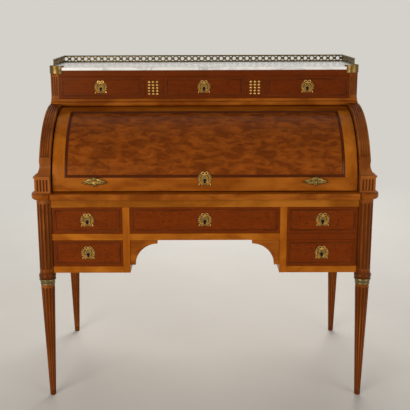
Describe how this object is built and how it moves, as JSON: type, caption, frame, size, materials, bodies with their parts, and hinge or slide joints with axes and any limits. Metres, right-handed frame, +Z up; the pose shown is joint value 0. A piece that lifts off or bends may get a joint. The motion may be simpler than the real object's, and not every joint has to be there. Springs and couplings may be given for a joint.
{
  "type": "cylinder desk",
  "caption": "Mahogany desk with a rolling quarter-cylinder fall over a pull-out writing board, frieze drawers, fluted tapered legs and a marble top with a pierced brass gallery.",
  "frame": {"origin": "on the floor under the middle of the desk", "axes": "+Z up, +X to the right seen from the front, front faces -Y"},
  "size_m": [1.2, 0.62, 1.204],
  "materials": {
    "mahogany": "french polished red-brown mahogany with a soft gloss",
    "light_mahogany": "french polished golden mahogany, faded by light",
    "oak": "dry, unpolished oak",
    "gilt_bronze": "worn fire-gilt bronze",
    "aged_brass": "brown patina on old brass",
    "marble": "honed white marble with grey veins",
    "writing_leather": "worn brown leather with a tooled border",
    "wrought_iron": "dark oiled iron"
  },
  "bodies": {
    "carcase": {"back_apron": "mahogany", "back_leg_left": "mahogany", "back_leg_right": "mahogany", "back_panel": "mahogany", "curved_side_left": "mahogany", "curved_side_right": "mahogany", "divider_drops": "gilt_bronze", "drawer_supports": "oak", "frieze_rails": "light_mahogany", "frieze_stiles": "light_mahogany", "frieze_top_rail": "light_mahogany", "front_leg_left": "mahogany", "front_leg_right": "mahogany", "gallery": "aged_brass", "gallery_corner_caps": "aged_brass", "kneehole_brackets": "mahogany", "leg_collars": "aged_brass", "marble_top": "marble", "nest_boards": "mahogany", "nest_uprights": "mahogany", "pedestal_partitions": "oak", "pilaster_left": "mahogany", "pilaster_right": "mahogany", "side_aprons": "mahogany", "slide_bed": "oak", "upper_case_boards": "mahogany", "upper_case_floor": "light_mahogany", "upper_dividers": "mahogany", "upper_posts": "mahogany", "upper_top_rail": "mahogany", "waist_mouldings": "light_mahogany"},
    "cylinder": {"cylinder_frame": "light_mahogany", "cylinder_panel": "mahogany", "cylinder_arms": "wrought_iron", "cylinder_lock": "gilt_bronze", "cylinder_pulls": "gilt_bronze"},
    "writing_board": {"writing_slide": "light_mahogany", "slide_leather": "writing_leather"},
    "left_top_drawer": {"left_top_drawer_front": "mahogany", "left_top_drawer_box": "oak", "left_top_drawer_lock": "gilt_bronze"},
    "left_low_drawer": {"left_low_drawer_front": "mahogany", "left_low_drawer_box": "oak", "left_low_drawer_lock": "gilt_bronze"},
    "centre_drawer": {"centre_drawer_front": "mahogany", "centre_drawer_box": "oak", "centre_drawer_lock": "gilt_bronze"},
    "right_deep_drawer": {"right_deep_drawer_front": "mahogany", "right_deep_drawer_box": "oak", "right_deep_drawer_lock": "gilt_bronze"},
    "upper_drawer_left": {"upper_drawer_left": "mahogany", "upper_drawer_left_lock": "gilt_bronze"},
    "upper_drawer_centre": {"upper_drawer_centre": "mahogany", "upper_drawer_centre_lock": "gilt_bronze"},
    "upper_drawer_right": {"upper_drawer_right": "mahogany", "upper_drawer_right_lock": "gilt_bronze"},
    "nest_drawer_left": {"nest_drawer_left": "mahogany"},
    "nest_drawer_centre": {"nest_drawer_centre": "mahogany"},
    "nest_drawer_right": {"nest_drawer_right": "mahogany"}
  },
  "joints": [
    {"name": "cylinder_roll", "type": "hinge", "parent": "carcase", "child": "cylinder", "pos_m": [0, -0.022, 0.78], "axis": [-1, 0, 0], "range_deg": [0, 70]},
    {"name": "writing_board_slide", "type": "slide", "parent": "carcase", "child": "writing_board", "axis": [0, -1, 0], "range_m": [0, 0.24]},
    {"name": "left_top_drawer_slide", "type": "slide", "parent": "carcase", "child": "left_top_drawer", "axis": [0, -1, 0], "range_m": [0, 0.3]},
    {"name": "left_low_drawer_slide", "type": "slide", "parent": "carcase", "child": "left_low_drawer", "axis": [0, -1, 0], "range_m": [0, 0.3]},
    {"name": "centre_drawer_slide", "type": "slide", "parent": "carcase", "child": "centre_drawer", "axis": [0, -1, 0], "range_m": [0, 0.3]},
    {"name": "right_deep_drawer_slide", "type": "slide", "parent": "carcase", "child": "right_deep_drawer", "axis": [0, -1, 0], "range_m": [0, 0.3]},
    {"name": "upper_drawer_left_slide", "type": "slide", "parent": "carcase", "child": "upper_drawer_left", "axis": [0, -1, 0], "range_m": [0, 0.15]},
    {"name": "upper_drawer_centre_slide", "type": "slide", "parent": "carcase", "child": "upper_drawer_centre", "axis": [0, -1, 0], "range_m": [0, 0.15]},
    {"name": "upper_drawer_right_slide", "type": "slide", "parent": "carcase", "child": "upper_drawer_right", "axis": [0, -1, 0], "range_m": [0, 0.15]},
    {"name": "nest_drawer_left_slide", "type": "slide", "parent": "carcase", "child": "nest_drawer_left", "axis": [0, -1, 0], "range_m": [0, 0.12]},
    {"name": "nest_drawer_centre_slide", "type": "slide", "parent": "carcase", "child": "nest_drawer_centre", "axis": [0, -1, 0], "range_m": [0, 0.12]},
    {"name": "nest_drawer_right_slide", "type": "slide", "parent": "carcase", "child": "nest_drawer_right", "axis": [0, -1, 0], "range_m": [0, 0.12]}
  ]
}
